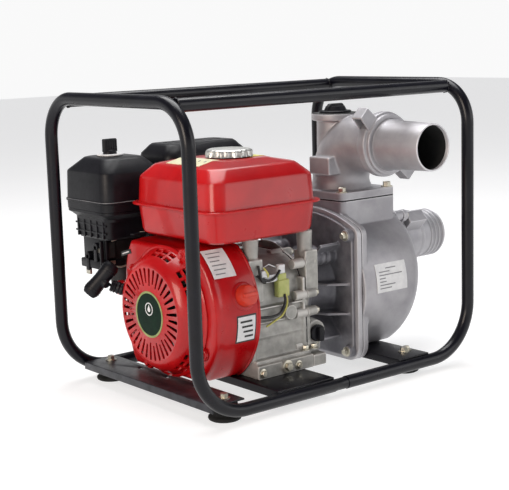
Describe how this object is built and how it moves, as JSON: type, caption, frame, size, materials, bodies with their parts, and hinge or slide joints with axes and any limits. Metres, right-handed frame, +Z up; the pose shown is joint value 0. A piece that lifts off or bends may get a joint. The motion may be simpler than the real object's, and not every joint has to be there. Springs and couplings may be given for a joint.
{
  "type": "portable fire pump",
  "caption": "Portable petrol fire pump: recoil-start single-cylinder engine close-coupled to a self-priming centrifugal pump in a bent-tube roll cage with suction and discharge hose tails.",
  "frame": {"origin": "bottom centre of the bounding box, on the ground under the feet", "axes": "+X along the crankshaft from the recoil starter to the suction port, +Y from the discharge outlet's side to the air cleaner's side, +Z up"},
  "size_m": [0.6366, 0.438, 0.4475],
  "materials": {
    "black_paint": "gloss black enamel",
    "grey_steel": "plain rolled steel",
    "rubber": "matt moulded rubber",
    "cast_aluminium": "satin die casting",
    "engine_aluminium": "sand-textured die casting, silver grey",
    "red_paint": "gloss red enamel",
    "black_plastic": "moulded plastic, fine grain",
    "chrome": "plated",
    "steel": "turned or pressed steel",
    "cast_iron": "dark casting",
    "orange_plastic": "orange-red moulded plastic",
    "yellow_plastic": "yellow-green moulded plastic",
    "foam": "open-cell filter foam",
    "rope": "braided cord"
  },
  "bodies": {
    "machine": {"air_cleaner_base": "black_plastic", "air_filter_element": "foam", "carburettor": "cast_iron", "connecting_rod_shank": "steel", "crankcase": "engine_aluminium", "crankcase_side_cover": "engine_aluminium", "cylinder_head": "engine_aluminium", "discharge_elbow": "cast_aluminium", "discharge_hose_tail": "cast_aluminium", "engine_bed_plate": "black_paint", "engine_end_plate": "grey_steel", "fan_cover": "red_paint", "frame_hoop_engine_end": "black_paint", "frame_hoop_pump_end": "black_paint", "fuel_tank": "red_paint", "ignition_coil": "black_plastic", "muffler": "cast_iron", "muffler_guard": "black_plastic", "oil_alert_unit": "yellow_plastic", "piston": "engine_aluminium", "plug_cap": "rubber", "pump_bracket": "cast_aluminium", "pump_casing": "cast_aluminium", "pump_drain_plug": "steel", "pump_end_plate": "black_paint", "recoil_cover": "red_paint", "rocker_cover": "steel", "rubber_foot_1": "rubber", "rubber_foot_2": "rubber", "rubber_foot_3": "rubber", "rubber_foot_4": "rubber", "spark_plug": "steel", "suction_flange": "cast_aluminium", "suction_hose_tail": "cast_aluminium", "top_rail_far": "black_paint", "top_rail_near": "black_paint", "volute": "cast_iron"},
    "crank": {"crankshaft": "steel", "flywheel": "cast_iron", "starter_cup": "steel", "impeller": "cast_iron", "mechanical_seal": "rubber"},
    "rod_end": {"connecting_rod_big_end": "steel"},
    "cam": {"camshaft": "cast_iron"},
    "reel": {"recoil_reel": "black_plastic", "starter_rope": "rope"},
    "starter_grip": {"starter_handle": "black_plastic"},
    "tank_cap": {"fuel_cap": "chrome"},
    "priming_lid": {"priming_cap": "black_plastic"},
    "oil_cap": {"oil_filler_cap": "black_plastic"},
    "switch": {"engine_switch_knob": "orange_plastic"},
    "throttle": {"throttle_lever": "black_plastic"},
    "choke": {"choke_lever": "black_plastic"},
    "fuel_valve": {"fuel_valve_lever": "black_plastic"},
    "governor": {"governor_arm": "steel"},
    "cleaner_lid": {"air_cleaner_cover": "black_plastic"},
    "cleaner_nut": {"air_cleaner_knob": "black_plastic"},
    "discharge_ring": {"discharge_coupling_ring": "cast_aluminium"},
    "suction_ring": {"suction_coupling_ring": "cast_aluminium"},
    "suction_flap": {"check_valve_flap": "rubber"}
  },
  "joints": [
    {"name": "crank_spin", "type": "hinge", "parent": "machine", "child": "crank", "pos_m": [-0.04274, -0.016, 0.129], "axis": [1, 0, 0], "continuous": true},
    {"name": "rod_end_turn", "type": "hinge", "parent": "crank", "child": "rod_end", "pos_m": [-0.10274, 0.00847, 0.14041], "axis": [1, 0, 0], "continuous": true},
    {"name": "cam_spin", "type": "hinge", "parent": "machine", "child": "cam", "pos_m": [-0.04274, -0.0585, 0.0863], "axis": [1, 0, 0], "continuous": true},
    {"name": "starter_pull", "type": "slide", "parent": "machine", "child": "starter_grip", "axis": [0, 0.9063, 0.4226], "range_m": [0, 0.6], "stiffness_N_per_m": 12, "springref_m": -0.6},
    {"name": "reel_spin", "type": "hinge", "parent": "machine", "child": "reel", "pos_m": [-0.24424, -0.016, 0.129], "axis": [1, 0, 0], "range_deg": [0, 1030]},
    {"name": "fuel_cap_turn", "type": "hinge", "parent": "machine", "child": "tank_cap", "pos_m": [-0.12274, -0.031, 0.3463], "axis": [0, 0, 1], "range_deg": [0, 90]},
    {"name": "priming_cap_turn", "type": "hinge", "parent": "machine", "child": "priming_lid", "pos_m": [0.11026, -0.01, 0.395], "axis": [0, 0, 1], "range_deg": [0, 180]},
    {"name": "oil_cap_turn", "type": "hinge", "parent": "machine", "child": "oil_cap", "pos_m": [-0.02774, -0.1075, 0.076], "axis": [0, 1, 0], "range_deg": [0, 180]},
    {"name": "engine_switch_turn", "type": "hinge", "parent": "machine", "child": "switch", "pos_m": [-0.18074, -0.13125, 0.1598], "axis": [0, -0.9659, 0.2588], "range_deg": [0, 60]},
    {"name": "throttle_swing", "type": "hinge", "parent": "machine", "child": "throttle", "pos_m": [-0.19274, 0.083, 0.23], "axis": [0, 0, 1], "range_deg": [-25, 25]},
    {"name": "choke_swing", "type": "hinge", "parent": "machine", "child": "choke", "pos_m": [-0.24304, 0.155, 0.206], "axis": [1, 0, 0], "range_deg": [-60, 0]},
    {"name": "fuel_valve_swing", "type": "hinge", "parent": "machine", "child": "fuel_valve", "pos_m": [-0.24304, 0.179, 0.19], "axis": [1, 0, 0], "range_deg": [0, 90]},
    {"name": "governor_swing", "type": "hinge", "parent": "machine", "child": "governor", "pos_m": [-0.12874, 0.004, 0.207], "axis": [0, 0, 1], "range_deg": [-12, 12]},
    {"name": "cleaner_lid_lift", "type": "slide", "parent": "machine", "child": "cleaner_lid", "axis": [0, 0, 1], "range_m": [0, 0.07]},
    {"name": "cleaner_nut_turn", "type": "hinge", "parent": "cleaner_lid", "child": "cleaner_nut", "pos_m": [-0.20874, 0.159, 0.345], "axis": [0, 0, 1], "continuous": true},
    {"name": "discharge_ring_turn", "type": "hinge", "parent": "machine", "child": "discharge_ring", "pos_m": [0.11226, -0.118, 0.35], "axis": [0, 1, 0], "range_deg": [0, 60]},
    {"name": "suction_ring_turn", "type": "hinge", "parent": "machine", "child": "suction_ring", "pos_m": [0.23926, -0.016, 0.179], "axis": [1, 0, 0], "range_deg": [0, 60]},
    {"name": "suction_flap_swing", "type": "hinge", "parent": "machine", "child": "suction_flap", "pos_m": [0.17926, -0.016, 0.209], "axis": [0, 1, 0], "range_deg": [0, 50]}
  ],
  "couplings": [
    {"joint": "rod_end_turn", "follows": "crank_spin", "ratio": -1},
    {"joint": "cam_spin", "follows": "crank_spin", "ratio": -0.5},
    {"joint": "reel_spin", "follows": "starter_pull", "rad_per_m": 29.85}
  ]
}
